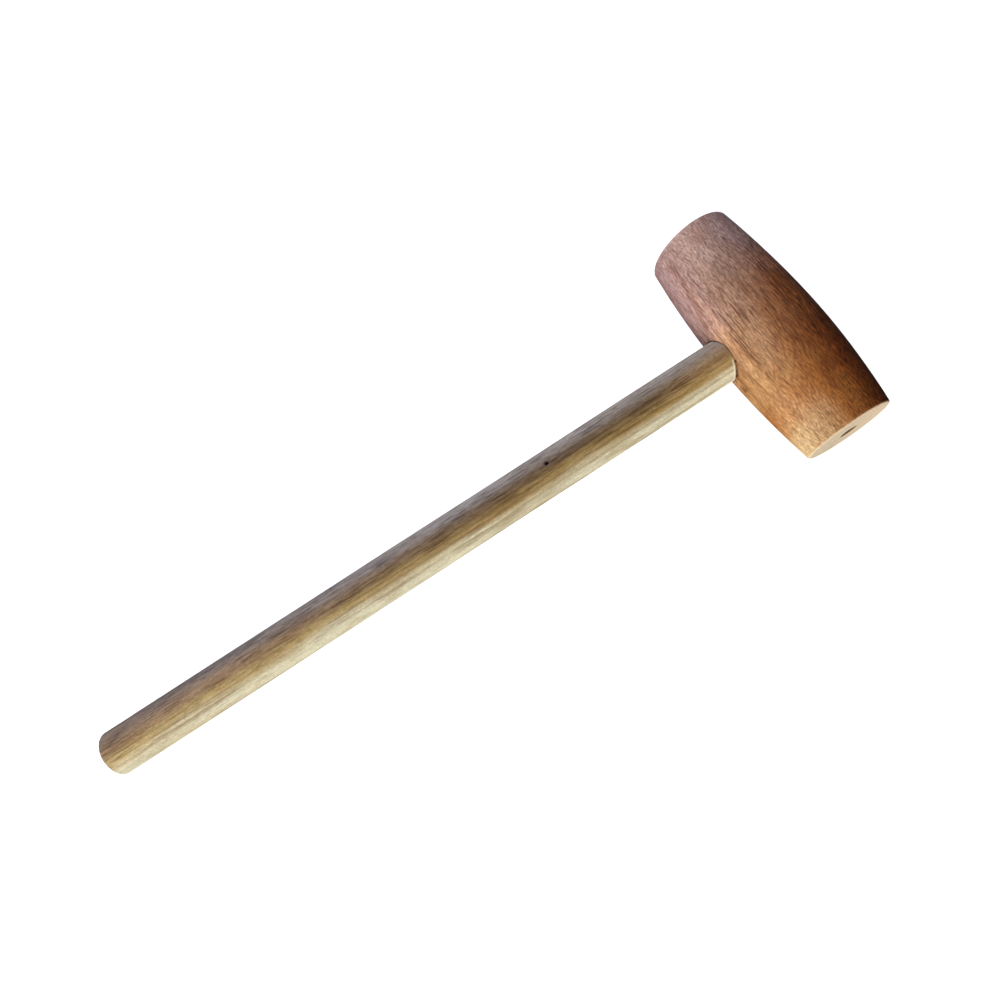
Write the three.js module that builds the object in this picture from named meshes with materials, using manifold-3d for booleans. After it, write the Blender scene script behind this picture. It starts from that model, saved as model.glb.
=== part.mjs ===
// Wooden mallet: a barrel-turned hardwood head on a plain dowel handle.
// The handle runs through the head as a tenon, which is slotted and spread by a wedge from the far side.
//
// Millimetres. The origin is the centre of the handle's flat butt end. The handle runs up +Y to the head,
// X runs along the head from face to face, and +Z is up when the mallet lies on its side on a bench.
// The pieces are drawn about the point where the two axes cross, and the whole is then moved up the handle.

import * as THREE from "three";
import { mergeVertices } from "three/addons/utils/BufferGeometryUtils.js";
import Module from "manifold-3d";

const wasm = await Module();
wasm.setup();

// ---- Driving dimensions ----------------------------------------------------------------------

const HEAD_HALF_LENGTH = 61.4;
const HEAD_MIDDLE_RADIUS = 25.7;
const HEAD_FACE_RADIUS = { minusX: 21.3, plusX: 20.3 };
const HEAD_ARRIS = 0.8;

const CENTRE_HOLE_RADIUS = 4;
const CENTRE_HOLE_BORE_DEPTH = 3;
const CENTRE_HOLE_CONE_DEPTH = 3.6;

const HANDLE_REACH = 378.5;
const HANDLE_TENON_RADIUS = 11;
const HANDLE_BUTT_RADIUS = 11.65;
const HANDLE_BUTT_ARRIS = 0.5;

const WEDGE_LENGTH = 31;
const WEDGE_TOP_THICKNESS = 3.8;
const WEDGE_TIP_THICKNESS = 0.9;
const SLOT_DEPTH_PAST_WEDGE = 4;

const FIT_GAP = 0.3;

// ---- Fineness --------------------------------------------------------------------------------

const HEAD_SIDES = 96;
const HEAD_PROFILE_STEPS = 12;
const HANDLE_SIDES = 64;
const HANDLE_PROFILE_STEPS = 6;
const ARRIS_STEPS = 4;

// A piece that is trimmed by another starts this much longer than the trim needs.
const TRIM_ALLOWANCE = 5;

// ---- Finishes --------------------------------------------------------------------------------

const redHardwood = new THREE.MeshStandardMaterial({ color: 0xa9714f, roughness: 0.62, metalness: 0 });
const paleHardwood = new THREE.MeshStandardMaterial({ color: 0xbfa26b, roughness: 0.58, metalness: 0 });
const wedgeWood = new THREE.MeshStandardMaterial({ color: 0xd8c197, roughness: 0.66, metalness: 0 });

// ---- Solids and meshes -----------------------------------------------------------------------

// Turns a closed geometry into a solid that can be joined and cut.
function solidFrom(geometry) {
  const bare = geometry.clone();
  bare.deleteAttribute("normal");
  bare.deleteAttribute("uv");
  const merged = mergeVertices(bare, 1e-5);
  const corners = merged.index.array;
  const kept = [];
  for (let first = 0; first < corners.length; first += 3) {
    const [a, b, c] = corners.slice(first, first + 3);
    if (a !== b && b !== c && c !== a) {
      kept.push(a, b, c);
    }
  }
  const mesh = new wasm.Mesh({
    numProp: 3,
    vertProperties: merged.attributes.position.array,
    triVerts: new Uint32Array(kept),
  });
  return new wasm.Manifold(mesh);
}

// Turns a solid back into a named mesh.
function pieceFrom(name, solid, material) {
  const { vertProperties, triVerts } = solid.getMesh();
  const geometry = new THREE.BufferGeometry();
  geometry.setAttribute("position", new THREE.BufferAttribute(new Float32Array(vertProperties), 3));
  geometry.setIndex(new THREE.BufferAttribute(new Uint32Array(triVerts), 1));
  geometry.computeVertexNormals();
  const piece = new THREE.Mesh(geometry, material);
  piece.name = name;
  return piece;
}

// A quarter-round between a side and an end. Its points run from the side to the end.
function arrisPoints(sideRadius, endHeight, size) {
  const direction = Math.sign(endHeight);
  const points = [];
  for (let step = 0; step <= ARRIS_STEPS; step += 1) {
    const angle = (step / ARRIS_STEPS) * (Math.PI / 2);
    const radius = sideRadius - size * (1 - Math.cos(angle));
    const height = endHeight - direction * size * (1 - Math.sin(angle));
    points.push(new THREE.Vector2(radius, height));
  }
  return points;
}

// ---- Head ------------------------------------------------------------------------------------

// The barrel's radius falls away from the middle as a parabola, to each face's own radius.
function barrelRadius(x) {
  const faceRadius = x < 0 ? HEAD_FACE_RADIUS.minusX : HEAD_FACE_RADIUS.plusX;
  const share = x / HEAD_HALF_LENGTH;
  return HEAD_MIDDLE_RADIUS - (HEAD_MIDDLE_RADIUS - faceRadius) * share * share;
}

// One face of the head, from the axis out to the arris: a drilled hole with a coned bottom, then flat.
function facePoints(side) {
  const face = side * HEAD_HALF_LENGTH;
  const coneTop = face - side * CENTRE_HOLE_BORE_DEPTH;
  return [
    new THREE.Vector2(0, coneTop - side * CENTRE_HOLE_CONE_DEPTH),
    new THREE.Vector2(CENTRE_HOLE_RADIUS, coneTop),
    new THREE.Vector2(CENTRE_HOLE_RADIUS, face),
  ];
}

function turnedHead() {
  const sideEnd = HEAD_HALF_LENGTH - HEAD_ARRIS;
  const lowArris = arrisPoints(barrelRadius(-sideEnd), -HEAD_HALF_LENGTH, HEAD_ARRIS).reverse();
  const highArris = arrisPoints(barrelRadius(sideEnd), HEAD_HALF_LENGTH, HEAD_ARRIS);
  const belly = [];
  for (let step = 1; step < HEAD_PROFILE_STEPS; step += 1) {
    const x = sideEnd * ((2 * step) / HEAD_PROFILE_STEPS - 1);
    belly.push(new THREE.Vector2(barrelRadius(x), x));
  }
  const profile = [...facePoints(-1), ...lowArris, ...belly, ...highArris, ...facePoints(1).reverse()];
  const turned = new THREE.LatheGeometry(profile, HEAD_SIDES);
  turned.rotateZ(-Math.PI / 2);
  return solidFrom(turned);
}

// The hole that the handle's tenon goes through, straight across the middle of the head.
function handleBore() {
  const length = 2 * (HEAD_MIDDLE_RADIUS + TRIM_ALLOWANCE);
  const radius = HANDLE_TENON_RADIUS + FIT_GAP;
  return solidFrom(new THREE.CylinderGeometry(radius, radius, length, HANDLE_SIDES));
}

// ---- Handle ----------------------------------------------------------------------------------

// The dowel thickens slightly and evenly from the head down to its butt.
function handleRadius(y) {
  const share = Math.max(0, -y / HANDLE_REACH);
  return HANDLE_TENON_RADIUS + (HANDLE_BUTT_RADIUS - HANDLE_TENON_RADIUS) * share;
}

function turnedHandle() {
  const sideEnd = HANDLE_REACH - HANDLE_BUTT_ARRIS;
  const buttArris = arrisPoints(handleRadius(-sideEnd), -HANDLE_REACH, HANDLE_BUTT_ARRIS).reverse();
  const shaft = [];
  for (let step = 1; step <= HANDLE_PROFILE_STEPS; step += 1) {
    const y = -sideEnd * (1 - step / HANDLE_PROFILE_STEPS);
    shaft.push(new THREE.Vector2(handleRadius(y), y));
  }
  const tenonEnd = HEAD_MIDDLE_RADIUS + TRIM_ALLOWANCE;
  const profile = [
    new THREE.Vector2(0, -HANDLE_REACH),
    ...buttArris,
    ...shaft,
    new THREE.Vector2(HANDLE_TENON_RADIUS, tenonEnd),
    new THREE.Vector2(0, tenonEnd),
  ];
  return solidFrom(new THREE.LatheGeometry(profile, HANDLE_SIDES));
}

// Everything below the head's axis, which is left alone when the tenon's end is dressed flush.
function handleSideOfHead() {
  const width = 2 * (HEAD_MIDDLE_RADIUS + TRIM_ALLOWANCE);
  const length = HANDLE_REACH + TRIM_ALLOWANCE;
  const block = new THREE.BoxGeometry(width, length, width);
  block.translate(0, -length / 2, 0);
  return solidFrom(block);
}

// ---- Wedge -----------------------------------------------------------------------------------

// A tapered slab across the tenon. Its thickness is along X, so it spreads the tenon along the
// head's grain. It is thickest where it meets the far side of the head.
function taperedSlab(topThickness, tipThickness, depth) {
  const top = HEAD_MIDDLE_RADIUS;
  const slope = (topThickness - tipThickness) / (2 * depth);
  const outline = new THREE.Shape();
  outline.moveTo(-tipThickness / 2, top - depth);
  outline.lineTo(tipThickness / 2, top - depth);
  outline.lineTo(topThickness / 2 + slope * TRIM_ALLOWANCE, top + TRIM_ALLOWANCE);
  outline.lineTo(-topThickness / 2 - slope * TRIM_ALLOWANCE, top + TRIM_ALLOWANCE);
  outline.closePath();
  const width = 2 * (HANDLE_TENON_RADIUS + TRIM_ALLOWANCE);
  const slab = new THREE.ExtrudeGeometry(outline, { depth: width, bevelEnabled: false });
  slab.translate(0, 0, -width / 2);
  return solidFrom(slab);
}

function wedgeBlank() {
  return taperedSlab(WEDGE_TOP_THICKNESS, WEDGE_TIP_THICKNESS, WEDGE_LENGTH);
}

function wedgeSlot() {
  const slope = (WEDGE_TOP_THICKNESS - WEDGE_TIP_THICKNESS) / WEDGE_LENGTH;
  const bottomThickness = WEDGE_TIP_THICKNESS + 2 * FIT_GAP - slope * SLOT_DEPTH_PAST_WEDGE;
  const depth = WEDGE_LENGTH + SLOT_DEPTH_PAST_WEDGE;
  return taperedSlab(WEDGE_TOP_THICKNESS + 2 * FIT_GAP, bottomThickness, depth);
}

// ---- Assembly --------------------------------------------------------------------------------

const headBlank = turnedHead();
const handleBlank = turnedHandle();

const headSolid = headBlank.subtract(handleBore());
const dressedHandle = handleBlank.intersect(headBlank.add(handleSideOfHead()));
const handleSolid = dressedHandle.subtract(wedgeSlot());
const wedgeSolid = wedgeBlank().intersect(handleBlank).intersect(headBlank);

const mallet = new THREE.Group();
mallet.position.y = HANDLE_REACH;
mallet.add(pieceFrom("mallet_head", headSolid, redHardwood));
mallet.add(pieceFrom("handle", handleSolid, paleHardwood));
mallet.add(pieceFrom("handle_wedge", wedgeSolid, wedgeWood));

export default mallet;
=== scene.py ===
import itertools
import math

import bmesh
import bpy
import numpy as np
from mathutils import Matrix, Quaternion, Vector


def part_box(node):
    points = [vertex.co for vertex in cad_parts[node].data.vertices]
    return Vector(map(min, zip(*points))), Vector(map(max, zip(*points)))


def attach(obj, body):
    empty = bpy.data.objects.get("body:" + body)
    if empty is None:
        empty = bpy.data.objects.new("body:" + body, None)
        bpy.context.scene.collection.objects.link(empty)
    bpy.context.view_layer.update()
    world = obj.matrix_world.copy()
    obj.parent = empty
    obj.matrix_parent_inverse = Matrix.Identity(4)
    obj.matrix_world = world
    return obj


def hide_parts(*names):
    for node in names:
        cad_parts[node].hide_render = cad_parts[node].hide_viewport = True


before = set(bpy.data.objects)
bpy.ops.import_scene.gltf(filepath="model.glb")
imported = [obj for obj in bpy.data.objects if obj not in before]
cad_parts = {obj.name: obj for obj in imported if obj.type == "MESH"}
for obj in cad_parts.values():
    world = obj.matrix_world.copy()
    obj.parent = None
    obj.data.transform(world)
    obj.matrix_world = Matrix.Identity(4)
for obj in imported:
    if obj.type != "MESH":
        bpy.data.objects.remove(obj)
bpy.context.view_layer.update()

# A wooden mallet: a barrel-turned hardwood head on a dowel handle, held by a wedged through tenon.
#
# Metres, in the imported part's frame: the origin is the centre of the handle's butt, +Y runs up the
# handle, X runs along the head and +Z is up as the mallet lies on its side. Each piece's own mesh is
# drawn about the point where the two axes cross, and its object stands at that point.

MM = 0.001
X, Y, Z = 0, 1, 2

# ---- Places and sizes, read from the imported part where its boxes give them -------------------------

head_low, head_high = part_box("mallet_head")
handle_low, handle_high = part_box("handle")
wedge_low, wedge_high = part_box("handle_wedge")

CROSSING = Vector((0, (head_low.y + head_high.y) / 2, 0))

HEAD_HALF_LENGTH = head_high.x
HEAD_MIDDLE_RADIUS = head_high.z
HEAD_ARRIS = 0.8 * MM
CENTRE_HOLE_RADIUS = 4 * MM
CENTRE_HOLE_WALL = 3 * MM
CENTRE_HOLE_CONE = 3.6 * MM

HANDLE_LENGTH_BELOW_HEAD = CROSSING.y - handle_low.y
HANDLE_BUTT_RADIUS = handle_high.z
HANDLE_TENON_RADIUS = wedge_high.z
HANDLE_BUTT_ARRIS = 0.5 * MM

BORE_CLEARANCE = 0.22 * MM
BORE_RADIUS = HANDLE_TENON_RADIUS + BORE_CLEARANCE
TENON_SPREAD = 0.16 * MM

WEDGE_TIP = wedge_low.y - CROSSING.y
WEDGE_THICKNESS = wedge_high.x - wedge_low.x
WEDGE_TIP_THICKNESS = 0.9 * MM
WEDGE_GLUE_LINE = 0.07 * MM


def face_radius(side):
    """The radius of the head's rim at its -X or +X face, before the arris is taken off."""
    points = np.array([vertex.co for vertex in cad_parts["mallet_head"].data.vertices])
    tolerance = 0.1 * MM
    flat = points[np.abs(points[:, X] - side * HEAD_HALF_LENGTH) < tolerance]
    return float(np.hypot(flat[:, Y] - CROSSING.y, flat[:, Z]).max()) + HEAD_ARRIS


FACE_RADIUS = {side: face_radius(side) for side in (-1, 1)}


def barrel_radius(x):
    """The head's radius at x: it falls away from the middle as a parabola, to each face's own radius."""
    rim = np.where(x < 0, FACE_RADIUS[-1], FACE_RADIUS[1])
    return HEAD_MIDDLE_RADIUS - (HEAD_MIDDLE_RADIUS - rim) * (x / HEAD_HALF_LENGTH) ** 2


def handle_radius(y):
    """The dowel's radius at y: it thickens slightly and evenly from the head's axis down to the butt."""
    share = np.clip(-y / HANDLE_LENGTH_BELOW_HEAD, 0, 1)
    return HANDLE_TENON_RADIUS + (HANDLE_BUTT_RADIUS - HANDLE_TENON_RADIUS) * share


def far_side_of_head(x, z):
    """The height y of the head's far side, where the tenon and the wedge are dressed flush. The side that
    the handle enters is as far below the head's axis."""
    return np.sqrt(np.maximum(barrel_radius(x) ** 2 - z**2, 0))


# ---- Repeatable noise ------------------------------------------------------------------------------


# Factors of an integer hash that turns a lattice corner and a seed into a number with no pattern to see.
AXIS_FACTORS = (73856093, 19349663, 83492791)
SEED_FACTOR = 2654435761
MIXING_FACTORS = (0x7FEB352D, 0x846CA68B)
MIXING_SHIFT = np.uint64(16)
LOW_32_BITS = np.uint64(0xFFFFFFFF)

# Added to every place on the lattice, so that no cell has a negative number.
LATTICE_OFFSET = 1000


def corner_value(cell, seed):
    """A repeatable number from 0 to 1 for each corner of a lattice."""
    mixed = np.full(len(cell), seed * SEED_FACTOR, np.uint64)
    for axis, factor in zip((X, Y, Z), AXIS_FACTORS):
        mixed ^= cell[:, axis].astype(np.uint64) * np.uint64(factor)
    mixed &= LOW_32_BITS
    for factor in MIXING_FACTORS:
        mixed = ((mixed ^ (mixed >> MIXING_SHIFT)) * np.uint64(factor)) & LOW_32_BITS
    return (mixed ^ (mixed >> MIXING_SHIFT)) / LOW_32_BITS


def noise(points, cell_size, seed):
    """Smooth noise from -1 to 1 at each point. cell_size is its grain along x, y and z."""
    scaled = points / np.array(cell_size) + LATTICE_OFFSET
    cell = np.floor(scaled).astype(np.int64)
    share = scaled - cell
    share = share * share * (3 - 2 * share)
    total = np.zeros(len(points))
    for corner in itertools.product((0, 1), repeat=3):
        weight = np.prod(np.where(corner, share, 1 - share), axis=1)
        total += weight * corner_value(cell + corner, seed)
    return 2 * total - 1


def even_cell(size):
    """A cell size that is the same along x, y and z."""
    return [size] * 3


def grain_cell(grain, length, width):
    """A cell size with this length along axis `grain` and this width across it."""
    cell = [width] * 3
    cell[grain] = length
    return cell


def smooth_step(low, high, value):
    """0 at low, 1 at high, eased in and out between them. low may be the larger of the two."""
    share = np.clip((value - low) / (high - low), 0, 1)
    return share * share * (3 - 2 * share)


def pore_depth(points, grain, length, width, seed):
    """How far open a pore is at each point, from 0 to 1. Pores are short grooves along axis `grain`."""
    shut, wide_open = 0.34, 0.72
    crowding = 0.08 * noise(points, grain_cell(grain, 40 * MM, 9 * MM), seed + 1)
    return smooth_step(shut, wide_open, noise(points, grain_cell(grain, length, width), seed) + crowding)


def facing(normals, axis):
    """1 where the surface faces along the axis, on an end, and 0 where it is a side."""
    return smooth_step(0.6, 0.95, np.abs(normals[:, axis]))


# ---- Mesh building ---------------------------------------------------------------------------------


def turned(profile, sides, axis):
    """Points and faces of a closed turned body. profile holds (height, radius) rows between its two poles,
    and starts and ends with a pole of radius 0."""
    rows = np.array(profile[1:-1])
    angles = np.arange(sides) * 2 * math.pi / sides
    across = [(axis + 1) % 3, (axis + 2) % 3]
    points = np.zeros((len(rows), sides, 3))
    points[:, :, axis] = rows[:, 0, None]
    points[:, :, across[0]] = rows[:, 1, None] * np.cos(angles)
    points[:, :, across[1]] = rows[:, 1, None] * np.sin(angles)
    poles = np.zeros((2, 3))
    poles[:, axis] = profile[0][0], profile[-1][0]
    points = np.vstack((points.reshape(-1, 3), poles))

    row, side = np.meshgrid(np.arange(len(rows) - 1), np.arange(sides), indexing="ij")
    here, beside = row * sides + side, row * sides + (side + 1) % sides
    quads = np.stack((here, beside, beside + sides, here + sides), axis=-1).reshape(-1, 4)
    first_pole, last_pole = len(points) - 2, len(points) - 1
    around = np.arange(sides)
    next_around = (around + 1) % sides
    last_row = (len(rows) - 1) * sides
    first_fan = np.stack((next_around, around, np.full(sides, first_pole)), axis=-1)
    last_fan = np.stack((around + last_row, next_around + last_row, np.full(sides, last_pole)), axis=-1)
    return points, quads.tolist() + first_fan.tolist() + last_fan.tolist()


def new_piece(name, points, faces):
    """An object that holds these points and faces, with every face turned outwards."""
    mesh = bpy.data.meshes.new(name)
    mesh.from_pydata(points.tolist(), [], faces)
    work = bmesh.new()
    work.from_mesh(mesh)
    bmesh.ops.recalc_face_normals(work, faces=work.faces)
    work.to_mesh(mesh)
    work.free()
    piece = bpy.data.objects.new(name, mesh)
    bpy.context.scene.collection.objects.link(piece)
    return piece


def cut_away(piece, cutter):
    """Takes the cutter's space out of the piece, and removes the cutter."""
    modifier = piece.modifiers.new("cut", "BOOLEAN")
    modifier.operation = "DIFFERENCE"
    modifier.solver = "MANIFOLD"
    modifier.object = cutter
    evaluated = piece.evaluated_get(bpy.context.evaluated_depsgraph_get())
    result = bpy.data.meshes.new_from_object(evaluated)
    piece.modifiers.clear()
    piece.data = result
    bpy.data.objects.remove(cutter)


def vertex_array(mesh, key):
    """One row of three numbers per point: its place for key "co", its normal for key "normal"."""
    values = np.empty(len(mesh.vertices) * 3)
    mesh.vertices.foreach_get(key, values)
    return values.reshape(-1, 3)


def set_points(mesh, points):
    mesh.vertices.foreach_set("co", points.ravel())
    mesh.update()


def paint(mesh, name, values):
    """Stores one number per point, for the piece's material to read."""
    layer = mesh.attributes.new(name, "FLOAT", "POINT")
    layer.data.foreach_set("value", np.asarray(values, np.float32))


SHARP_EDGE = math.radians(50)


def finish_piece(piece, material, node):
    """Shades the piece smooth but for its true edges, gives it its material and puts it in its place."""
    mesh = piece.data
    mesh.shade_smooth()
    work = bmesh.new()
    work.from_mesh(mesh)
    for edge in work.edges:
        edge.smooth = edge.calc_face_angle(0) < SHARP_EDGE
    work.to_mesh(mesh)
    work.free()
    mesh.materials.clear()
    mesh.materials.append(material)
    piece.location = CROSSING
    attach(piece, "root")
    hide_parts(node)


ARRIS_STEPS = 6


def arris_rows(height, radius, size):
    """A quarter-round from a side to an end. Its rows run from the side to the end."""
    direction = math.copysign(1, height)
    angles = [step / ARRIS_STEPS * math.pi / 2 for step in range(1, ARRIS_STEPS + 1)]
    return [
        (height - direction * size * (1 - math.sin(angle)), radius - size * (1 - math.cos(angle)))
        for angle in angles
    ]


# ---- Head ------------------------------------------------------------------------------------------

HEAD_SIDES = 448
HEAD_HALF_ROWS = 60
FACE_ROWS = 30
BORE_SIDES = 160
BORE_ROWS = 41


def half_head_profile(side):
    """The head's profile from its middle out to the bottom of one face's centre hole."""
    face = side * HEAD_HALF_LENGTH
    side_end = face - side * HEAD_ARRIS
    rows = [(x, float(barrel_radius(x))) for x in np.linspace(0, side_end, HEAD_HALF_ROWS)]
    rows += arris_rows(face, FACE_RADIUS[side], HEAD_ARRIS)
    hole_edge = 0.35 * MM
    flat = np.linspace(rows[-1][1], CENTRE_HOLE_RADIUS + hole_edge, FACE_ROWS)[1:]
    rows += [(face, float(radius)) for radius in flat]
    rows += [(face - side * height, CENTRE_HOLE_RADIUS) for height in (hole_edge, CENTRE_HOLE_WALL / 2)]
    cone_top = face - side * CENTRE_HOLE_WALL
    for share in (1, 0.8, 0.6, 0.4, 0.2, 0):
        rows.append((cone_top - side * CENTRE_HOLE_CONE * (1 - share), CENTRE_HOLE_RADIUS * share))
    return rows


def bore_cutter():
    """A rod that reaches past both sides of the head, to cut the handle's hole."""
    overshoot = 4 * MM
    reach = HEAD_MIDDLE_RADIUS + overshoot
    rows = [(y, BORE_RADIUS) for y in np.linspace(-reach, reach, BORE_ROWS)]
    points, faces = turned([(-reach, 0), *rows, (reach, 0)], BORE_SIDES, Y)
    return new_piece("bore_cutter", points, faces)


def end_grain_relief(points, normals):
    """The turned face's faint cutting rings and the hard and soft growth in its end grain, in metres."""
    ring_spacing = 1.6 * MM
    radius = np.hypot(points[:, Y], points[:, Z])
    turns = radius / ring_spacing * 2 * math.pi
    rings = np.sin(turns + 1.5 * noise(points, even_cell(6 * MM), seed=31))
    growth = noise(points, grain_cell(X, 1, 1.1 * MM), seed=32)
    on_flat = smooth_step(0.7, 0.95, np.abs(normals[:, X]))
    return (0.02 * rings + 0.03 * growth) * MM * on_flat


def head_relief(points, normals, pore, on_face):
    """How far the lathe, the grain and the years have moved each point along its normal, in metres. Each
    amount is in millimetres until the sum."""
    out_of_true = 0.11 * noise(points, even_cell(34 * MM), seed=12)
    out_of_true += 0.035 * noise(points, even_cell(9 * MM), seed=13)
    ridge_spacing = 1.7 * MM
    tool_ridges = np.sin(points[:, X] / ridge_spacing * math.pi)
    chatter = 0.008 * tool_ridges * noise(points, grain_cell(X, 14 * MM, 60 * MM), seed=14)
    fibre = 0.016 * noise(points, grain_cell(X, 3.5 * MM, 0.45 * MM), seed=15)
    side_relief = (out_of_true + chatter + fibre - 0.085 * pore) * MM * (1 - on_face)
    return side_relief + end_grain_relief(points, normals)


# Each chip's angle round the mouth in degrees, from +X towards +Z, and its radius in millimetres.
CHIPS = (
    (-48, 0.5),
    (-27, 0.7),
    (-3, 0.85),
    (9, 0.45),
    (20, 0.85),
    (29, 0.5),
    (38, 0.85),
    (47, 0.55),
    (56, 0.8),
)
CHIP_RING_RADIUS = BORE_RADIUS + 0.55 * MM
CHIP_STRETCH = 1.5
CHIP_DEPTH = 0.7


def chips(points):
    """How much of a chip's depth each point has lost, from 0 to 1, in the row of small chips that the drill
    tore from the +X side of the mouth that the handle enters. A chip is longest along Z."""
    depth = np.zeros(len(points))
    for degrees, size in CHIPS:
        angle = math.radians(degrees)
        aside = points[:, X] - CHIP_RING_RADIUS * math.cos(angle)
        along = (points[:, Z] - CHIP_RING_RADIUS * math.sin(angle)) / CHIP_STRETCH
        away = np.hypot(aside, along) / (size * MM)
        depth = np.maximum(depth, 1 - smooth_step(0.7, 1.0, away))
    return depth * (points[:, Y] < 0)


def open_side(points):
    """1 on the -X part of the handle's hole, where the joint gapes a little, and 0 on its +X side."""
    return 1 - smooth_step(1 * MM, 6 * MM, points[:, X])


def worn_mouth(points, from_bore):
    """How far each point of the skin round the handle's hole has worn outwards and sunk, in metres. Each
    amount is in millimetres until the end."""
    worn_width = 2.4 * MM
    share = (1 - np.clip(from_bore / worn_width, 0, 1)) ** 2
    ragged = 0.08 * noise(points, even_cell(2.6 * MM), seed=16)
    gape = open_side(points)
    handle_side = points[:, Y] < 0
    outwards = np.where(handle_side, 0.08 + 0.05 * gape + ragged, 0.06) * share
    sunk = np.where(handle_side, 0.05 + 0.1 * gape, 0.03) * share + CHIP_DEPTH * chips(points)
    return outwards * MM, sunk * MM


def mouth_dirt_and_shade(points, from_bore):
    """How dark the mouth that the handle enters is at each point, from 0 to 1: partly dirt and partly painted
    shade in the joint's gap, strongest on the -X side, and painted shade in the chips' hollows.
    """
    lip_width = 0.5 * MM
    lip = (1 - smooth_step(0, lip_width, from_bore)) * open_side(points)
    lip = np.maximum(0.35, lip) * (from_bore < lip_width)
    return np.maximum(lip, chips(points)) * (points[:, Y] < 0)


def rim_wear_and_highlight(points, from_axis):
    """How pale each point near a face's rim is, from 0 to 1: partly wear and partly a painted highlight along
    the rim. The wear reaches further over the face than over the barrel, and the -X rim shows less of it."""
    along = np.abs(points[:, X])
    rim_radius = np.where(points[:, X] < 0, FACE_RADIUS[-1], FACE_RADIUS[1])
    from_rim = np.hypot(along - HEAD_HALF_LENGTH, from_axis - rim_radius)
    on_end = smooth_step(HEAD_HALF_LENGTH - HEAD_ARRIS, HEAD_HALF_LENGTH - 0.2 * MM, along)
    reach = (0.45 + 0.85 * on_end) * MM
    most = np.where(points[:, X] < 0, 0.4, 1.0)
    return most * np.exp(-((from_rim / reach) ** 2))


def refine_mouth(piece):
    """Splits the skin's edges round the hole that the handle enters, so that it can hold the chips."""
    work = bmesh.new()
    work.from_mesh(piece.data)
    refined_width = 2 * MM
    near = {
        vertex
        for vertex in work.verts
        if vertex.co.y < 0 and abs(math.hypot(vertex.co.x, vertex.co.z) - BORE_RADIUS) < refined_width
    }
    edges = [edge for edge in work.edges if edge.verts[0] in near and edge.verts[1] in near]
    bmesh.ops.subdivide_edges(work, edges=edges, cuts=3, use_grid_fill=True)
    work.to_mesh(piece.data)
    work.free()


def build_head():
    profile = half_head_profile(-1)[:0:-1] + half_head_profile(1)
    points, faces = turned(profile, HEAD_SIDES, X)
    piece = new_piece("turned_head", points, faces)
    refine_mouth(piece)
    cut_away(piece, bore_cutter())
    mesh = piece.data
    points, normals = vertex_array(mesh, "co"), vertex_array(mesh, "normal")

    from_bore = np.hypot(points[:, X], points[:, Z]) - BORE_RADIUS
    from_axis = np.hypot(points[:, Y], points[:, Z])
    along = np.abs(points[:, X])
    skin_tolerance, bore_tolerance, hole_tolerance = 0.02 * MM, 0.01 * MM, 0.2 * MM
    skin = np.abs(from_axis - barrel_radius(points[:, X])) < skin_tolerance
    mouth_edge = skin & (np.abs(from_bore) < bore_tolerance)
    in_bore = (from_bore < bore_tolerance) & ~mouth_edge
    in_centre_hole = (from_axis < CENTRE_HOLE_RADIUS + hole_tolerance) & (along > HEAD_HALF_LENGTH / 2)
    calm_width = 1.2 * MM
    open_skin = smooth_step(0, calm_width, from_bore) * ~(in_bore | in_centre_hole)
    on_face = facing(normals, X) * ~in_bore
    pore = pore_depth(points, X, 5.5 * MM, 0.5 * MM, seed=11) * (1 - on_face)

    moved = points + normals * (head_relief(points, normals, pore, on_face) * open_skin)[:, None]
    outwards, sunk = worn_mouth(points, from_bore)
    from_handle = points * (1, 0, 1) / (BORE_RADIUS + np.maximum(from_bore, 0))[:, None]
    moved[skin] += (from_handle * outwards[:, None] - normals * sunk[:, None])[skin]
    set_points(mesh, moved)

    paint(mesh, "pore", pore * open_skin)
    paint(mesh, "end_grain", on_face)
    paint(mesh, "worn_edge_and_highlight", rim_wear_and_highlight(points, from_axis))
    paint(mesh, "mouth", mouth_dirt_and_shade(points, from_bore) * (skin | in_bore))
    # The insides of the holes, which are painted dark as shade.
    paint(mesh, "painted_hole_shade", in_bore | (in_centre_hole & (along < HEAD_HALF_LENGTH - 0.1 * MM)))
    finish_piece(piece, head_wood(), "mallet_head")


# ---- Handle ----------------------------------------------------------------------------------------

HANDLE_SIDES = 264
HANDLE_ROWS = 300
NEAR_KNOT_ROWS = 35
NEAR_HEAD_ROWS = 26
BUTT_ROWS = 20
TENON_ROWS = 24
TENON_END_ROWS = 16
KNOT_PLACE = Vector((-1.46, -123.9, 11.1)) * MM
KNOT_RADIUS = 1.25 * MM


def handle_heights():
    """The rows of the dowel's side, from the butt up, closer together at the pin knot and near the head."""
    butt = -HANDLE_LENGTH_BELOW_HEAD + HANDLE_BUTT_ARRIS
    even = np.linspace(butt, 0, HANDLE_ROWS)
    near_knot = KNOT_PLACE.y + np.linspace(-2.6, 2.6, NEAR_KNOT_ROWS) * MM
    near_head = -HEAD_MIDDLE_RADIUS + np.linspace(-2, 3, NEAR_HEAD_ROWS) * MM
    spare = np.ones(len(even), bool)
    for extra in (near_knot, near_head):
        spare &= (even < extra[0]) | (even > extra[-1])
    return np.sort(np.concatenate((even[spare], near_knot, near_head)))


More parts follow.
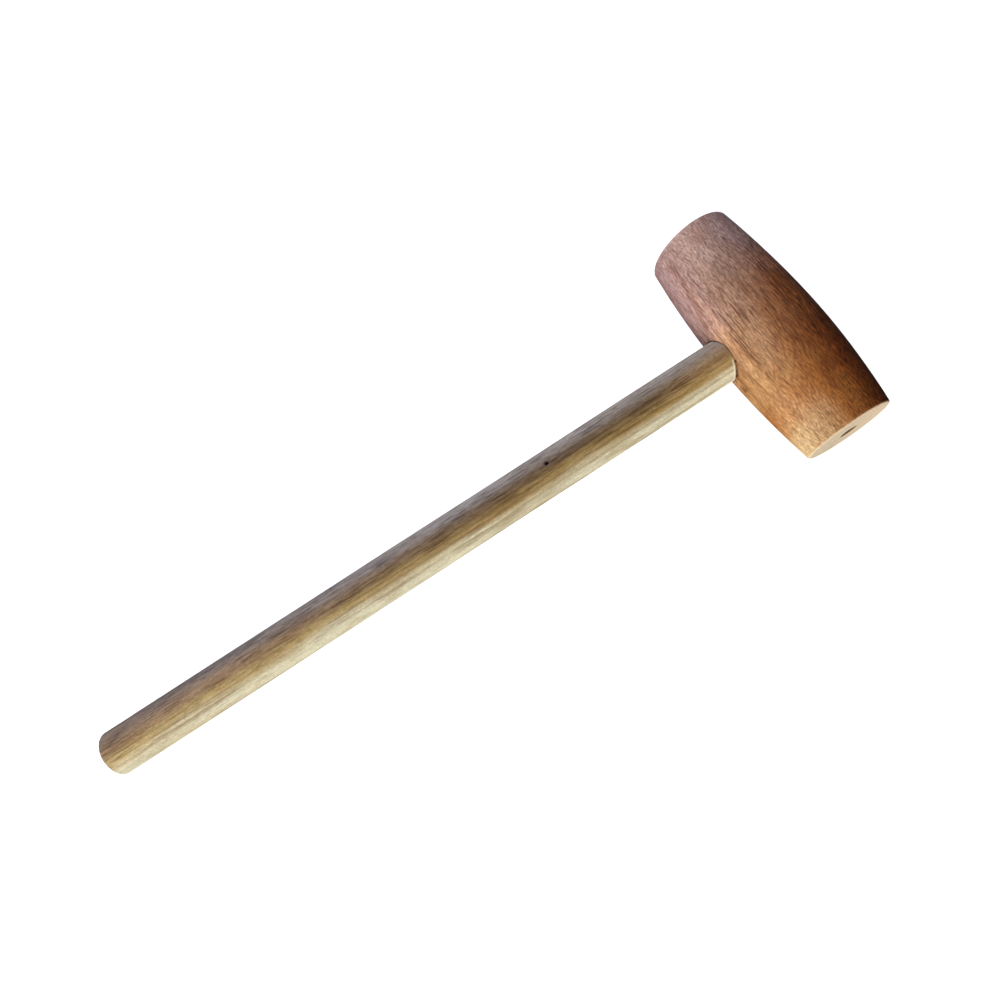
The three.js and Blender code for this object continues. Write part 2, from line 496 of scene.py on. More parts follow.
def handle_profile():
    """The dowel's profile from the middle of its butt up to the middle of the tenon's end."""
    butt = -HANDLE_LENGTH_BELOW_HEAD
    arris = arris_rows(butt, HANDLE_BUTT_RADIUS, HANDLE_BUTT_ARRIS)
    flat = np.linspace(0, arris[-1][1], BUTT_ROWS)[1:-1]
    rows = [(butt, 0)] + [(butt, float(radius)) for radius in flat] + arris[::-1]
    rows += [(float(y), float(handle_radius(y))) for y in handle_heights()]
    top = HEAD_MIDDLE_RADIUS
    rows += [(top * share, HANDLE_TENON_RADIUS) for share in np.linspace(0, 1, TENON_ROWS)[1:-1]]
    end_edge = 0.25 * MM
    rows += [(top - end_edge, HANDLE_TENON_RADIUS), (top, HANDLE_TENON_RADIUS - end_edge)]
    rows += [(top, HANDLE_TENON_RADIUS * share) for share in np.linspace(0.94, 0, TENON_END_ROWS)]
    return rows


def dress_tenon(points):
    """Shapes the tenon's end to the head's far side, and spreads its two halves as the wedge does."""
    middle_width = 2 * MM
    dressed = points.copy()
    share = np.clip(points[:, Y] / HEAD_MIDDLE_RADIUS, 0, 1)
    above = points[:, Y] > 0
    dressed[above, Y] = (share * far_side_of_head(points[:, X], points[:, Z]))[above]
    halves = np.sign(points[:, X]) * (np.abs(points[:, X]) > middle_width)
    dressed[:, X] += halves * TENON_SPREAD * share**2
    return dressed


def slot_cutter():
    """The wedge's own tapered shape, a glue line wider on each side and a little deeper."""
    overshoot = 5 * MM
    top = HEAD_MIDDLE_RADIUS + overshoot
    slope = (WEDGE_THICKNESS - WEDGE_TIP_THICKNESS) / 2 / (HEAD_MIDDLE_RADIUS - WEDGE_TIP)
    depth_past_tip = 3 * MM
    bottom = WEDGE_TIP - depth_past_tip
    half_bottom = WEDGE_TIP_THICKNESS / 2 + WEDGE_GLUE_LINE - slope * depth_past_tip
    half_top = WEDGE_THICKNESS / 2 + WEDGE_GLUE_LINE + slope * (top - HEAD_MIDDLE_RADIUS)
    half_width = HANDLE_TENON_RADIUS + overshoot
    corners = [
        (side * half, y, end * half_width)
        for half, y in ((half_bottom, bottom), (half_top, top))
        for side, end in ((-1, -1), (1, -1), (1, 1), (-1, 1))
    ]
    ends = [(0, 1, 2, 3), (4, 5, 6, 7)]
    sides = [(at, (at + 1) % 4, (at + 1) % 4 + 4, at + 4) for at in range(4)]
    return new_piece("slot_cutter", np.array(corners), ends + sides)


def knot_distance(points):
    """Distance from the middle of the pin knot, in knot radii. It counts for less along the grain."""
    squeeze = (1, 0.85, 1)
    return np.linalg.norm((points - np.array(KNOT_PLACE)) * squeeze, axis=1) / KNOT_RADIUS


def handle_relief(points, pore, on_end):
    """How far the grain, the saw and the years have moved each point along its normal, in metres. Each
    amount is in millimetres until the sum."""
    below = smooth_step(HEAD_MIDDLE_RADIUS, HEAD_MIDDLE_RADIUS + 6 * MM, -points[:, Y])
    out_of_true = 0.08 * noise(points, grain_cell(Y, 70 * MM, 40 * MM), seed=52)
    out_of_true += 0.03 * noise(points, grain_cell(Y, 22 * MM, 8 * MM), seed=53)
    fibre = 0.014 * noise(points, grain_cell(Y, 6 * MM, 0.4 * MM), seed=54)
    side_relief = (out_of_true + fibre - 0.07 * pore) * MM * (1 - on_end) * below
    tooth_spacing = 1.3 * MM
    saw_marks = 0.03 * np.sin(points[:, X] / tooth_spacing * math.pi)
    saw_marks += 0.035 * noise(points, even_cell(0.9 * MM), seed=55)
    return side_relief + saw_marks * MM * on_end * (points[:, Y] < 0)


def build_handle():
    points, faces = turned(handle_profile(), HANDLE_SIDES, Y)
    piece = new_piece("dowel_handle", dress_tenon(points), faces)
    cut_away(piece, slot_cutter())
    mesh = piece.data
    points, normals = vertex_array(mesh, "co"), vertex_array(mesh, "normal")

    on_end = facing(normals, Y)
    pore = pore_depth(points, Y, 9 * MM, 0.42 * MM, seed=51) * (1 - on_end)
    knot = knot_distance(points)
    pit = 1 - smooth_step(0.45, 1.0, knot)
    swell = np.exp(-(((knot - 1.7) / 0.9) ** 2))
    lift = handle_relief(points, pore, on_end) + (0.05 * swell - 0.8 * pit) * MM
    set_points(mesh, points + normals * lift[:, None])

    paint(mesh, "pore", pore)
    paint(mesh, "end_grain", on_end)
    paint(mesh, "knot", pit)
    paint(mesh, "knot_halo", np.exp(-((knot / 2.6) ** 2)))
    from_axis = np.hypot(points[:, X], points[:, Z])
    from_rim = np.hypot(points[:, Y] + HANDLE_LENGTH_BELOW_HEAD, from_axis - HANDLE_BUTT_RADIUS)
    worn_reach = 1.3 * MM
    # On the handle this marks only the butt's wear.
    paint(mesh, "worn_edge_and_highlight", np.exp(-((from_rim / worn_reach) ** 2)))

    below_head = -points[:, Y] - far_side_of_head(points[:, X], points[:, Z])
    # Inside the head's hole the handle is darkened, partly as a dirty glue line and partly as painted shade,
    # more on the -X side.
    in_head_dirt_and_shade = (1 - smooth_step(-0.25 * MM, 0, below_head)) * (points[:, Y] < 0)
    paint(mesh, "in_head_dirt_and_shade", in_head_dirt_and_shade * (1 - 0.5 * smooth_step(2 * MM, 6 * MM, points[:, X])))
    # A painted highlight on the handle just below the head, only on its +X side.
    joint_highlight = smooth_step(-0.1 * MM, 0.1 * MM, below_head) * (1 - smooth_step(0.6 * MM, 0.9 * MM, below_head))
    paint(mesh, "joint_highlight", joint_highlight * smooth_step(4.5 * MM, 6 * MM, points[:, X]))
    finish_piece(piece, handle_wood(), "handle")


# ---- Wedge -----------------------------------------------------------------------------------------


WEDGE_CELLS = (8, 40, 36)


def gridded_cube(counts):
    """Points and faces of a cube from -1 to 1, its sides split into this many cells along x, y and z."""
    index = {}
    points, faces = [], []

    def corner(place):
        if place not in index:
            index[place] = len(points)
            points.append([2 * at / count - 1 for at, count in zip(place, counts)])
        return index[place]

    for fixed in (X, Y, Z):
        first, second = [axis for axis in (X, Y, Z) if axis != fixed]
        for end in (0, counts[fixed]):
            for column, row in itertools.product(range(counts[first]), range(counts[second])):
                face = []
                for right, up in ((0, 0), (1, 0), (1, 1), (0, 1)):
                    place = [0, 0, 0]
                    place[fixed], place[first], place[second] = end, column + right, row + up
                    face.append(corner(tuple(place)))
                faces.append(face)
    return np.array(points), faces


def build_wedge():
    """A tapered slab across the tenon: a gridded cube, drawn out to the wedge's own shape."""
    unit, faces = gridded_cube(WEDGE_CELLS)
    inset, stand_out = 0.05 * MM, 0.05 * MM
    share = (unit[:, Y] + 1) / 2
    half_thickness = (WEDGE_TIP_THICKNESS + (WEDGE_THICKNESS - WEDGE_TIP_THICKNESS) * share) / 2
    x = unit[:, X] * half_thickness
    z = unit[:, Z] * (np.sqrt(HANDLE_TENON_RADIUS**2 - x**2) - inset)
    top = far_side_of_head(x, z) + stand_out
    y = WEDGE_TIP + share * (top - WEDGE_TIP)
    piece = new_piece("tenon_wedge", np.stack((x, y, z), axis=-1), faces)

    mesh = piece.data
    points, normals = vertex_array(mesh, "co"), vertex_array(mesh, "normal")
    on_end = smooth_step(0.6, 0.95, normals[:, Y])
    fibre = 0.02 * noise(points, grain_cell(Y, 5 * MM, 0.5 * MM), seed=71)
    set_points(mesh, points + normals * (fibre * MM)[:, None])
    paint(mesh, "pore", pore_depth(points, Y, 6 * MM, 0.4 * MM, seed=72) * (1 - on_end))
    paint(mesh, "end_grain", on_end)
    finish_piece(piece, wedge_wood(), "handle_wedge")


# ---- Material nodes --------------------------------------------------------------------------------


# The sockets of a Mix node that mixes colours.
MIX_SHARE, MIX_FIRST, MIX_SECOND, MIX_RESULT = 0, 6, 7, 2


class Wood:
    """Builds one material's nodes. Each method adds nodes and returns the last one's output socket, but for
    node, which returns the node, and surface, which ends the material and returns it."""

    def __init__(self, name):
        self.material = bpy.data.materials.new(name)
        self.material.use_nodes = True
        self.tree = self.material.node_tree
        self.tree.nodes.clear()
        self.place = self.node("ShaderNodeTexCoord").outputs["Object"]

    def node(self, kind, values=(), **settings):
        """A node with these settings. values holds (input, value or socket) pairs."""
        made = self.tree.nodes.new(kind)
        for key, setting in settings.items():
            setattr(made, key, setting)
        for key, value in values:
            if isinstance(value, bpy.types.NodeSocket):
                self.tree.links.new(value, made.inputs[key])
            else:
                made.inputs[key].default_value = value
        return made

    def math(self, operation, *values):
        return self.node("ShaderNodeMath", list(enumerate(values)), operation=operation).outputs[0]

    def vector_math(self, operation, *values, output=0):
        made = self.node("ShaderNodeVectorMath", list(enumerate(values)), operation=operation)
        return made.outputs[output]

    def times(self, first, second):
        return self.math("MULTIPLY", first, second)

    def attribute(self, name):
        return self.node("ShaderNodeAttribute", attribute_name=name).outputs["Fac"]

    def part(self, axis):
        """The place along one axis."""
        return self.node("ShaderNodeSeparateXYZ", [("Vector", self.place)]).outputs[axis]

    def noise(self, sizes, detail=2.0):
        """Noise from 0 to 1. Its cells have these sizes in millimetres along x, y and z."""
        cells = self.vector_math("MULTIPLY", self.place, [1 / (size * MM) for size in sizes])
        values = [("Vector", cells), ("Scale", 1.0), ("Detail", detail)]
        return self.node("ShaderNodeTexNoise", values).outputs["Fac"]

    def between(self, value, low, high, to_low=0.0, to_high=1.0):
        """value's place between low and high, eased in and out, as a number from to_low to to_high."""
        values = enumerate((value, low, high, to_low, to_high))
        return self.node("ShaderNodeMapRange", values, interpolation_type="SMOOTHSTEP").outputs[0]

    def zone(self, axis, start, full, outside=0.0, inside=1.0):
        """A number that goes from outside to inside between two places on an axis, in millimetres."""
        return self.between(self.part(axis), start * MM, full * MM, outside, inside)

    def mix(self, share, first, second, **settings):
        """Mixes two colours, each of them a colour or a socket."""
        values = [(MIX_SHARE, share)]
        for key, colour in ((MIX_FIRST, first), (MIX_SECOND, second)):
            values.append((key, colour if isinstance(colour, bpy.types.NodeSocket) else (*colour, 1.0)))
        return self.node("ShaderNodeMix", values, data_type="RGBA", **settings).outputs[MIX_RESULT]

    def stain(self, colour, share, amount, tint):
        """colour, mixed towards tint by up to `amount` where share is 1."""
        return self.mix(self.times(share, amount), colour, tint)

    def tinted(self, colour, share, factor):
        """colour, multiplied by factor, a colour or a socket, where share is 1."""
        return self.mix(share, colour, factor, blend_type="MULTIPLY")

    def shade(self, colour, share, darkest, lightest):
        """colour, made darker where the noise `share` is low and lighter where it is high."""
        factor = self.between(share, 0.3, 0.7, darkest, lightest)
        values = [(0, colour), ("Scale", factor)]
        return self.node("ShaderNodeVectorMath", values, operation="SCALE").outputs[0]

    def drifted(self, axis, sizes, reach):
        """The place along one axis, pushed at most `reach` millimetres either way by slow noise."""
        push = self.times(self.math("SUBTRACT", self.noise(sizes), 0.5), 2 * reach * MM)
        return self.math("ADD", self.part(axis), push)

    def graded(self, place, *stops):
        """A colour that runs through these stops. Each holds a place in millimetres and a colour."""
        colour = stops[0][1]
        for (start, _), (end, tint) in zip(stops, stops[1:]):
            colour = self.mix(self.between(place, start * MM, end * MM), colour, tint)
        return colour

    def streaks(self, grain, length, width, low, high):
        """Short streaks along the grain, from 0 to 1, where noise goes from low to high. The length and the
        width are the noise's, in millimetres."""
        return self.between(self.noise(grain_cell(grain, length, width), detail=0.0), low, high)

    def rings(self, grain, centre, spacing, wander):
        """Growth rings round a pith line along axis `grain`, as a saw-tooth from 0 to 1 across each ring. The
        line passes through centre, the spacing is in millimetres, and wander is a shift counted in rings."""
        offset = [-value * MM for value in centre]
        from_centre = self.vector_math("ADD", self.place, offset)
        across = self.vector_math("MULTIPLY", from_centre, grain_cell(grain, 0.0, 1.0))
        radius = self.vector_math("LENGTH", across, output="Value")
        count = self.math("DIVIDE", radius, spacing * MM)
        return self.math("FRACT", self.math("ADD", count, wander))

    def surface(self, colour, roughness, height, bump_mm):
        bump = self.node("ShaderNodeBump", [("Height", height), ("Distance", bump_mm * MM)])
        values = [
            ("Base Color", colour),
            ("Roughness", roughness),
            ("Normal", bump.outputs[0]),
            ("IOR", 1.45),
            ("Specular IOR Level", 0.3),
            ("Diffuse Roughness", 0.4),
        ]
        shader = self.node("ShaderNodeBsdfPrincipled", values)
        output = self.node("ShaderNodeOutputMaterial")
        self.tree.links.new(shader.outputs[0], output.inputs["Surface"])
        return self.material


# The head's colours from its near side, where the handle enters, round to its far edge as the photo shows it,
# with light and shade painted in: the near side painted lit, the far side painted shade that deepens to the
# far edge, and the mauve -X end and the orange +X end partly the wood's own colour and partly painted light.
# Each is a row of stops along X: a place in millimetres and the colour there.
HEAD_NEAR_LIT = (
    (-45, (0.41, 0.235, 0.16)),
    (0, (0.52, 0.27, 0.13)),
    (33, (0.56, 0.27, 0.1)),
    (58, (0.72, 0.46, 0.23)),
)
HEAD_MIDDLE_HALF_SHADED = (
    (-56, (0.6, 0.37, 0.28)),
    (-34, (0.44, 0.26, 0.175)),
    (0, (0.37, 0.142, 0.046)),
    (45, (0.41, 0.14, 0.026)),
)
HEAD_FAR_SHADED = (
    (-54, (0.71, 0.42, 0.33)),
    (-26, (0.6, 0.25, 0.13)),
    (-10, (0.42, 0.128, 0.032)),
    (45, (0.31, 0.068, 0.007)),
)
HEAD_FAR_EDGE_DARKEST_SHADE = (
    (-56, (0.55, 0.4, 0.33)),
    (-25, (0.34, 0.16, 0.09)),
    (20, (0.3, 0.075, 0.01)),
    (50, (0.18, 0.045, 0.006)),
)
# What the near side's own colour is multiplied by: painted light and shade along X.
HEAD_NEAR_LIGHT_AND_SHADE = (
    (-20, (1.0, 1.0, 1.0)),
    (24, (1.03, 1.13, 1.17)),
    (42, (0.92, 0.8, 0.68)),
    (57, (1.12, 1.25, 1.32)),
)


def head_ground(wood):
    """The head's colour with painted light and shade in it: mauve-pink at its -X end, red-brown, then orange
    at its +X end, lit on the near side and shaded to the far edge.
    """
    along = wood.drifted(X, (60, 26, 26), reach=30)
    across = wood.drifted(Y, (40, 22, 22), reach=10)
    stops = (HEAD_NEAR_LIT, HEAD_MIDDLE_HALF_SHADED, HEAD_FAR_SHADED, HEAD_FAR_EDGE_DARKEST_SHADE)
    near, middle, far, far_edge = (wood.graded(along, *row) for row in stops)
    # Across Y, from the painted-lit near side to the far edge's painted shade.
    colour = wood.graded(across, (-21, near), (-4, middle), (13, far), (20, far_edge))
    # Painted light and shade along the near side.
    colour = wood.tinted(colour, wood.zone(Y, -6, -14), wood.graded(wood.part(X), *HEAD_NEAR_LIGHT_AND_SHADE))
    # A painted cool light low on the near side of the -X half, over the handle's shadow.
    painted_cool_light = wood.times(wood.zone(Y, -13, -24), wood.zone(X, 0, -14))
    return wood.tinted(colour, painted_cool_light, (1.1, 1.16, 1.5))


def head_figure(wood, colour, ring):
    """Growth bands, dark blotches, pale ribbons and dark lines, all but the blotches fainter at the ends."""
    boldness = wood.times(wood.zone(X, 12, 36, 1.0, 0.4), wood.zone(X, -16, -50, 1.0, 0.5))
    late_wood = wood.between(ring, 0.45, 1.0)
    banded = wood.times(wood.between(wood.noise((50, 16, 16), detail=1), 0.4, 0.62), boldness)
    colour = wood.tinted(colour, wood.times(late_wood, banded), (0.72, 0.62, 0.56))
    blotch = wood.between(wood.noise((16, 9, 9), detail=3), 0.46, 0.68)
    colour = wood.tinted(colour, blotch, (0.84, 0.76, 0.7))
    ribbon = wood.between(wood.noise((46, 3.2, 3.2), detail=3), 0.42, 0.68)
    colour = wood.tinted(colour, wood.times(ribbon, boldness), (1.2, 1.2, 1.16))
    crowding = wood.between(wood.noise((16, 5, 5)), 0.38, 0.56)
    line = wood.times(wood.streaks(X, 13, 0.62, 0.54, 0.66), crowding)
    return wood.tinted(colour, wood.times(line, boldness), (0.47, 0.38, 0.33))


def head_far_flecks(wood, colour):
    """Pale flecks and dark gaps on the dark far side, fainter towards its -X end."""
    far_side = wood.times(wood.zone(Y, -2, 10), wood.zone(X, -45, -12, 0.4, 1.0))
    fleck = wood.times(wood.streaks(X, 3.4, 0.45, 0.54, 0.68), far_side)
    colour = wood.tinted(colour, fleck, (1.8, 1.65, 1.5))
    gap = wood.times(wood.streaks(X, 4.2, 0.45, 0.46, 0.32), far_side)
    return wood.tinted(colour, gap, (0.54, 0.49, 0.46))


def head_end_grain(wood, ring):
    """The colour of the two striking faces, palest towards the far side."""
    colour = wood.mix(wood.noise((30, 9, 9)), (0.74, 0.585, 0.405), (0.85, 0.71, 0.54))
    colour = wood.stain(colour, wood.between(ring, 0.5, 1.0), 0.45, (0.56, 0.36, 0.2))
    colour = wood.shade(colour, wood.noise((3, 0.5, 0.5)), 0.88, 1.12)
    early_wood = wood.between(ring, 0.9, 0.2, 0.3, 1.0)
    open_pore = wood.times(wood.streaks(X, 3, 0.3, 0.6, 0.7), early_wood)
    colour = wood.stain(colour, open_pore, 0.6, (0.22, 0.1, 0.04))
    return wood.tinted(colour, wood.zone(Y, -8, 14), (1.14, 1.1, 1.08))


def head_wear(wood, colour):
    """The pale rims, worn and with a painted highlight, the mouth darkened by dirt and painted shade, and the
    insides of the holes painted dark as shade.
    """
    scuff = wood.between(wood.noise((2, 2, 2)), 0.3, 0.6, 0.3, 0.8)
    # Pale rims: wear and a painted highlight.
    colour = wood.mix(wood.times(wood.attribute("worn_edge_and_highlight"), scuff), colour, (0.92, 0.72, 0.5))
    # The mouth: dirt and painted shade.
    colour = wood.stain(colour, wood.attribute("mouth"), 0.92, (0.04, 0.017, 0.008))
    # Painted shade inside the holes.
    return wood.mix(wood.attribute("painted_hole_shade"), colour, (0.1, 0.042, 0.016))


def head_wood():
    """Open-pored reddish hardwood."""
    wood = Wood("head_wood")
    wander = wood.times(wood.noise((110, 24, 24)), 1.5)
    ring = wood.rings(X, centre=(0, 30, -52), spacing=3.4, wander=wander)
    colour = head_figure(wood, head_ground(wood), ring)
    vessel = wood.streaks(X, 4.5, 0.55, 0.56, 0.68)
    hair = wood.streaks(X, 3.2, 0.34, 0.53, 0.65)
    dark = wood.math("MAXIMUM", wood.times(wood.attribute("pore"), 0.5), wood.times(vessel, 0.5))
    dark = wood.math("MAXIMUM", dark, wood.times(hair, 0.8))
    speck = wood.noise((1.4, 0.42, 0.42))
    colour = wood.shade(colour, speck, 0.74, 1.28)
    colour = wood.tinted(colour, dark, (0.5, 0.41, 0.37))
    colour = head_far_flecks(wood, colour)
    colour = wood.mix(wood.attribute("end_grain"), colour, head_end_grain(wood, ring))
    colour = head_wear(wood, colour)

    roughness = wood.math("ADD", 0.55, wood.times(dark, 0.25))
    roughness = wood.math("ADD", roughness, wood.times(speck, 0.1))
    height = wood.math("SUBTRACT", wood.times(speck, 0.5), dark)
    return wood.surface(colour, roughness, height, bump_mm=0.06)


# The handle's colours at four places across it, from its -X side to its +X side in millimetres, as they are
# near the head and near the butt. They hold painted light and shade together with the wood's own colour: the
# grey -X side is painted shade, darkest near the butt, and the cream +X side is painted light.
HANDLE_PLACES = (-9.5, 0, 6, 11.5)
HANDLE_NEAR_HEAD_SHADED = ((0.38, 0.285, 0.195), (0.24, 0.14, 0.06), (0.46, 0.3, 0.115), (0.8, 0.74, 0.55))
HANDLE_NEAR_BUTT_SHADED = ((0.165, 0.1, 0.057), (0.46, 0.28, 0.145), (0.58, 0.41, 0.175), (0.64, 0.585, 0.43))


def handle_ground(wood):
    """The handle's colour with painted light and shade in it: grey-brown towards -X, brown in the middle,
    cream towards +X.
    """
    across = wood.drifted(X, (10, 90, 10), reach=5)
    towards_butt = wood.zone(Y, -120, -360)
    pairs = zip(HANDLE_NEAR_HEAD_SHADED, HANDLE_NEAR_BUTT_SHADED)
    grey, brown, gold, cream = (wood.mix(towards_butt, *pair) for pair in pairs)
    near_head = wood.zone(Y, -75, -30)
    # Painted light on the brown middle near the head, where the head shades it.
    brown = wood.tinted(brown, near_head, (1.45, 1.4, 1.35))
    colour = wood.graded(across, *zip(HANDLE_PLACES, (grey, brown, gold, cream)))
    # Painted light on the upper flank near the head.
    painted_light_flank = wood.times(wood.zone(X, -5, 1), wood.zone(X, 9, 5))
    return wood.tinted(colour, wood.times(near_head, painted_light_flank), (1.35, 1.38, 1.45))


def handle_figure(wood, colour, ring, dark_side):
    """Growth bands, pale ribbons, dark blotches, and dark lines that are fainter on the cream side."""
    late_wood = wood.between(ring, 0.45, 1.0)
    banded = wood.between(wood.noise((9, 60, 9), detail=1), 0.4, 0.62)
    colour = wood.tinted(colour, wood.times(late_wood, banded), (0.68, 0.62, 0.56))
    ribbon = wood.between(wood.noise((1.6, 50, 1.6), detail=3), 0.42, 0.68)
    colour = wood.tinted(colour, ribbon, (1.1, 1.1, 1.08))
    blotch = wood.between(wood.noise((6, 16, 6)), 0.48, 0.7)
    colour = wood.tinted(colour, blotch, (0.86, 0.82, 0.76))
    crowding = wood.between(wood.noise((4, 20, 4)), 0.38, 0.56)
    line = wood.times(wood.streaks(Y, 15, 0.5, 0.54, 0.66), crowding)
    return wood.tinted(colour, wood.times(line, dark_side), (0.48, 0.42, 0.38))


def handle_end_grain(wood, ring):
    """The colour of the butt and of the tenon's end."""
    colour = wood.mix(wood.noise((7, 30, 7)), (0.44, 0.32, 0.18), (0.58, 0.45, 0.27))
    colour = wood.stain(colour, wood.between(ring, 0.5, 1.0), 0.55, (0.27, 0.17, 0.08))
    colour = wood.shade(colour, wood.noise((0.45, 3, 0.45)), 0.86, 1.14)
    return wood.stain(colour, wood.streaks(Y, 3, 0.3, 0.6, 0.7), 0.6, (0.14, 0.085, 0.04))


def handle_wear(wood, colour):
    """The worn butt, a painted highlight just below the head on its +X side, the part inside the head
    darkened by dirt and painted shade, and the pin knot.
    """
    colour = wood.stain(colour, wood.attribute("worn_edge_and_highlight"), 0.3, (0.4, 0.32, 0.22))
    # Painted highlight along the joint.
    colour = wood.stain(colour, wood.attribute("joint_highlight"), 0.75, (0.98, 0.88, 0.68))
    # Dirt and painted shade inside the head.
    colour = wood.stain(colour, wood.attribute("in_head_dirt_and_shade"), 0.9, (0.04, 0.02, 0.01))
    colour = wood.stain(colour, wood.attribute("knot_halo"), 0.45, (0.15, 0.07, 0.03))
    return wood.mix(wood.attribute("knot"), colour, (0.008, 0.006, 0.005))


def handle_wood():
    """Straight-grained dowel."""
    wood = Wood("handle_wood")
    wander = wood.times(wood.noise((8, 130, 8), detail=3), 2.0)
    ring = wood.rings(Y, centre=(60, 0, 18), spacing=2.2, wander=wander)
    dark_side = wood.zone(X, 9, -1, 0.4, 1.0)
    colour = handle_figure(wood, handle_ground(wood), ring, dark_side)
    vessel = wood.streaks(Y, 5, 0.5, 0.55, 0.68)
    hair = wood.streaks(Y, 3, 0.36, 0.53, 0.66)
    dark = wood.math("MAXIMUM", wood.attribute("pore"), wood.times(vessel, 0.8))
    dark = wood.math("MAXIMUM", dark, wood.times(hair, 0.6))
    speck = wood.noise((0.5, 1.1, 0.5))
    colour = wood.shade(colour, speck, 0.84, 1.16)
    colour = wood.tinted(colour, wood.times(dark, dark_side), (0.66, 0.6, 0.55))
    colour = wood.mix(wood.attribute("end_grain"), colour, handle_end_grain(wood, ring))
    colour = handle_wear(wood, colour)

    roughness = wood.math("ADD", 0.5, wood.times(dark, 0.25))
    roughness = wood.math("ADD", roughness, wood.times(speck, 0.1))
    height = wood.math("SUBTRACT", wood.times(speck, 0.4), dark)
    return wood.surface(colour, roughness, height, bump_mm=0.05)


def wedge_wood():
    """Pale sawn slip, its end grain dressed flush with the head."""
    wood = Wood("wedge_wood")
    ribbon = wood.noise((0.7, 20, 0.7), detail=3)
    colour = wood.mix(ribbon, (0.55, 0.42, 0.24), (0.7, 0.57, 0.36))
    dark = wood.math("MAXIMUM", wood.attribute("pore"), wood.streaks(Y, 5, 0.35, 0.56, 0.72))
    colour = wood.stain(colour, dark, 0.5, (0.24, 0.15, 0.07))
    end_grain = wood.mix(wood.noise((0.5, 3, 0.5), detail=3), (0.36, 0.25, 0.13), (0.6, 0.47, 0.29))
    colour = wood.mix(wood.attribute("end_grain"), colour, end_grain)
    roughness = wood.math("ADD", 0.6, wood.times(dark, 0.2))
    return wood.surface(colour, roughness, wood.math("SUBTRACT", ribbon, dark), bump_mm=0.04)


# ---- Stage, light and camera -----------------------------------------------------------------------


def lying_slope():
    """The angle between the handle's axis and a bench that the belly and the butt both rest on."""
    butt = HANDLE_LENGTH_BELOW_HEAD - HANDLE_BUTT_ARRIS
    reach = math.hypot(butt, HANDLE_BUTT_RADIUS)
    return math.asin(HEAD_MIDDLE_RADIUS / reach) - math.atan2(HANDLE_BUTT_RADIUS, butt)


def floor_material():
    """White to the camera, a little less near the mallet, and dull in the light that it throws back."""
    material = bpy.data.materials.new("pale_floor")
    material.use_nodes = True
    tree = material.node_tree
    tree.nodes.clear()

    def node(kind, links=(), operation=None, **values):
        """The outputs of a new node. links holds (input, socket) pairs, values the inputs' own values."""
        made = tree.nodes.new(kind)
        if operation:
            made.operation = operation
        for key, value in values.items():
            made.inputs[key.replace("_", " ")].default_value = value
        for key, socket in links:
            tree.links.new(socket, made.inputs[key])
        return made.outputs

    place = node("ShaderNodeTexCoord")["Object"]
    away = node("ShaderNodeVectorMath", [(0, place)], operation="LENGTH")["Value"]
    near, far = 0.25, 1.2
    near_glow, far_glow = 0.86, 1.0
    spread = {"From_Min": near, "From_Max": far, "To_Min": near_glow, "To_Max": far_glow}
    glow = node("ShaderNodeMapRange", [("Value", away)], **spread)["Result"]
    white = node("ShaderNodeBsdfDiffuse", Color=(0.8, 0.8, 0.8, 1))["BSDF"]
    lit = node("ShaderNodeEmission", [("Strength", glow)])["Emission"]
    seen = node("ShaderNodeAddShader", [(0, white), (1, lit)])["Shader"]
    dull = node("ShaderNodeBsdfDiffuse", Color=(0.25, 0.22, 0.18, 1))["BSDF"]
    camera_ray = node("ShaderNodeLightPath")["Is Camera Ray"]
    surface = node("ShaderNodeMixShader", [(0, camera_ray), (1, dull), (2, seen)])["Shader"]
    node("ShaderNodeOutputMaterial", [("Surface", surface)])
    return material


def build_floor():
    """A wide flat floor under the belly and the butt of the mallet as it lies."""
    half = 6.0
    mesh = bpy.data.meshes.new("floor")
    corners = [(-half, -half, 0), (half, -half, 0), (half, half, 0), (-half, half, 0)]
    mesh.from_pydata(corners, [], [(0, 1, 2, 3)])
    mesh.materials.append(floor_material())
    floor = bpy.data.objects.new("floor", mesh)
    bpy.context.scene.collection.objects.link(floor)
    slope = lying_slope()
    clearance = 0.15 * MM
    drop = HEAD_MIDDLE_RADIUS + clearance
    floor.rotation_euler = (-slope, 0, 0)
    floor.location = CROSSING + Vector((0, -math.sin(slope), -math.cos(slope))) * drop


LIGHTS_AIM = CROSSING + Vector((0, -0.15, 0))


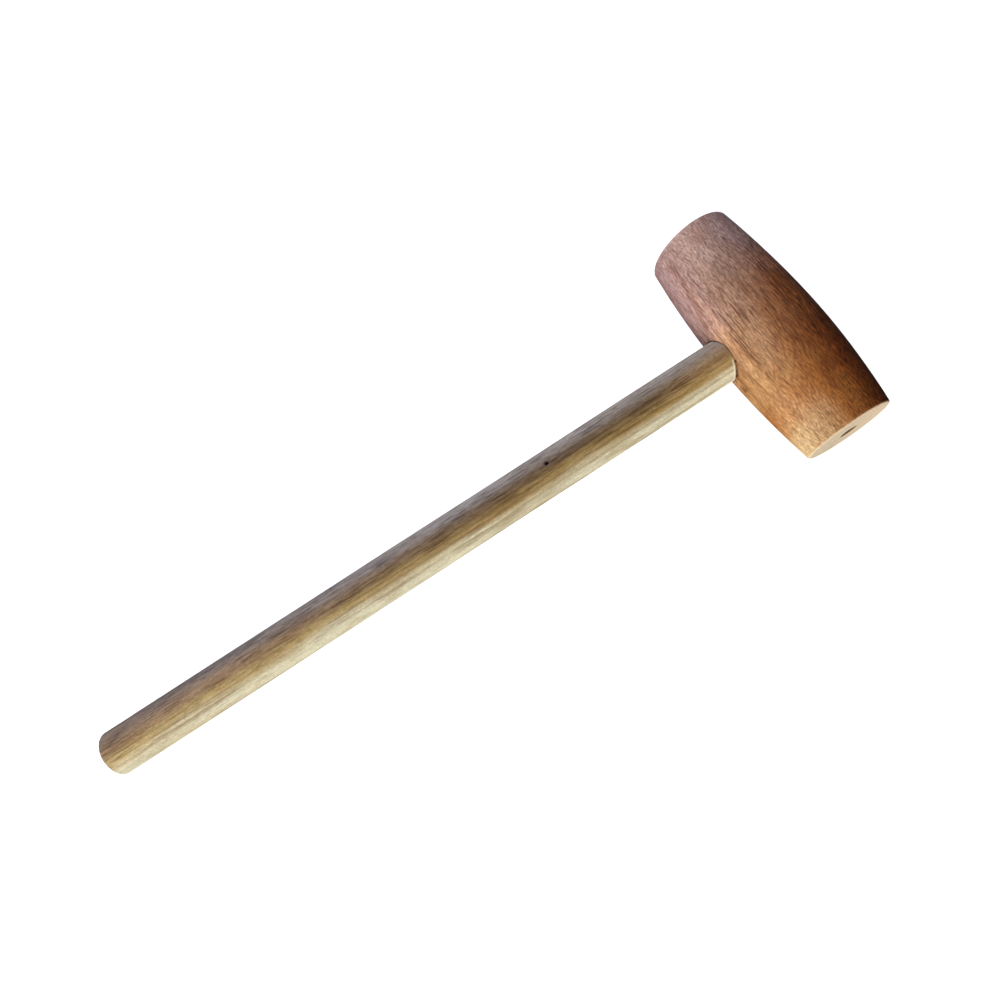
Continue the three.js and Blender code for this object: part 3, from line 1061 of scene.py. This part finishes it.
def soft_light(name, towards, distance, size, watts, colour):
    """A square soft box that stands `distance` from the mallet in direction `towards` and faces it."""
    data = bpy.data.lights.new(name, "AREA")
    data.shape = "SQUARE"
    data.size = size
    data.energy = watts
    data.color = colour
    light = bpy.data.objects.new(name, data)
    bpy.context.scene.collection.objects.link(light)
    direction = Vector(towards).normalized()
    light.location = LIGHTS_AIM + direction * distance
    light.rotation_mode = "QUATERNION"
    light.rotation_quaternion = direction.to_track_quat("Z", "Y")
    light.visible_camera = False


def build_lights():
    """A neutral key light from the butt's +X side, a blue one from -X, and a white room that only the camera
    sees at full strength."""
    distance, size = 1.1, 0.8
    soft_light("key", (0.68, -0.68, 0.26), distance, size, watts=21.5, colour=(0.98, 1.0, 0.97))
    soft_light("side", (-0.96, -0.12, 0.26), distance, size, watts=30, colour=(0.6, 0.72, 1.0))

    room_light, room_seen = 0.05, 1.0
    world = bpy.data.worlds.new("studio")
    world.use_nodes = True
    bpy.context.scene.world = world
    tree = world.node_tree
    seen = tree.nodes.new("ShaderNodeLightPath").outputs["Is Camera Ray"]
    strength = tree.nodes.new("ShaderNodeMapRange")
    strength.inputs["To Min"].default_value = room_light
    strength.inputs["To Max"].default_value = room_seen
    tree.links.new(seen, strength.inputs["Value"])
    tree.links.new(strength.outputs[0], tree.nodes["Background"].inputs["Strength"])
    tree.nodes["Background"].inputs["Color"].default_value = (1, 1, 1, 1)


def build_camera():
    """The photograph's view: from well above, rolled so that the handle runs down to the left. The aim,
    the distance, the angles and the lens come from fitting the mallet's outlines to the photo's."""
    data = bpy.data.cameras.new("camera")
    data.sensor_width = 36
    data.lens = 24.97
    data.clip_start = 0.01
    camera = bpy.data.objects.new("camera", data)
    bpy.context.scene.collection.objects.link(camera)
    aim = CROSSING + Vector((-2.2, -152.2, 0)) * MM
    distance = 340.05 * MM
    azimuth, elevation, roll = (math.radians(angle) for angle in (92.09, 72.46, 34.89))
    level = math.cos(elevation)
    back = Vector((math.sin(azimuth) * level, -math.cos(azimuth) * level, math.sin(elevation)))
    camera.location = aim + back * distance
    camera.rotation_mode = "QUATERNION"
    camera.rotation_quaternion = back.to_track_quat("Z", "Y") @ Quaternion((0, 0, 1), -roll)
    bpy.context.scene.camera = camera
    bpy.context.scene.view_settings.view_transform = "Standard"


build_head()
build_handle()
build_wedge()
build_floor()
build_lights()
build_camera()
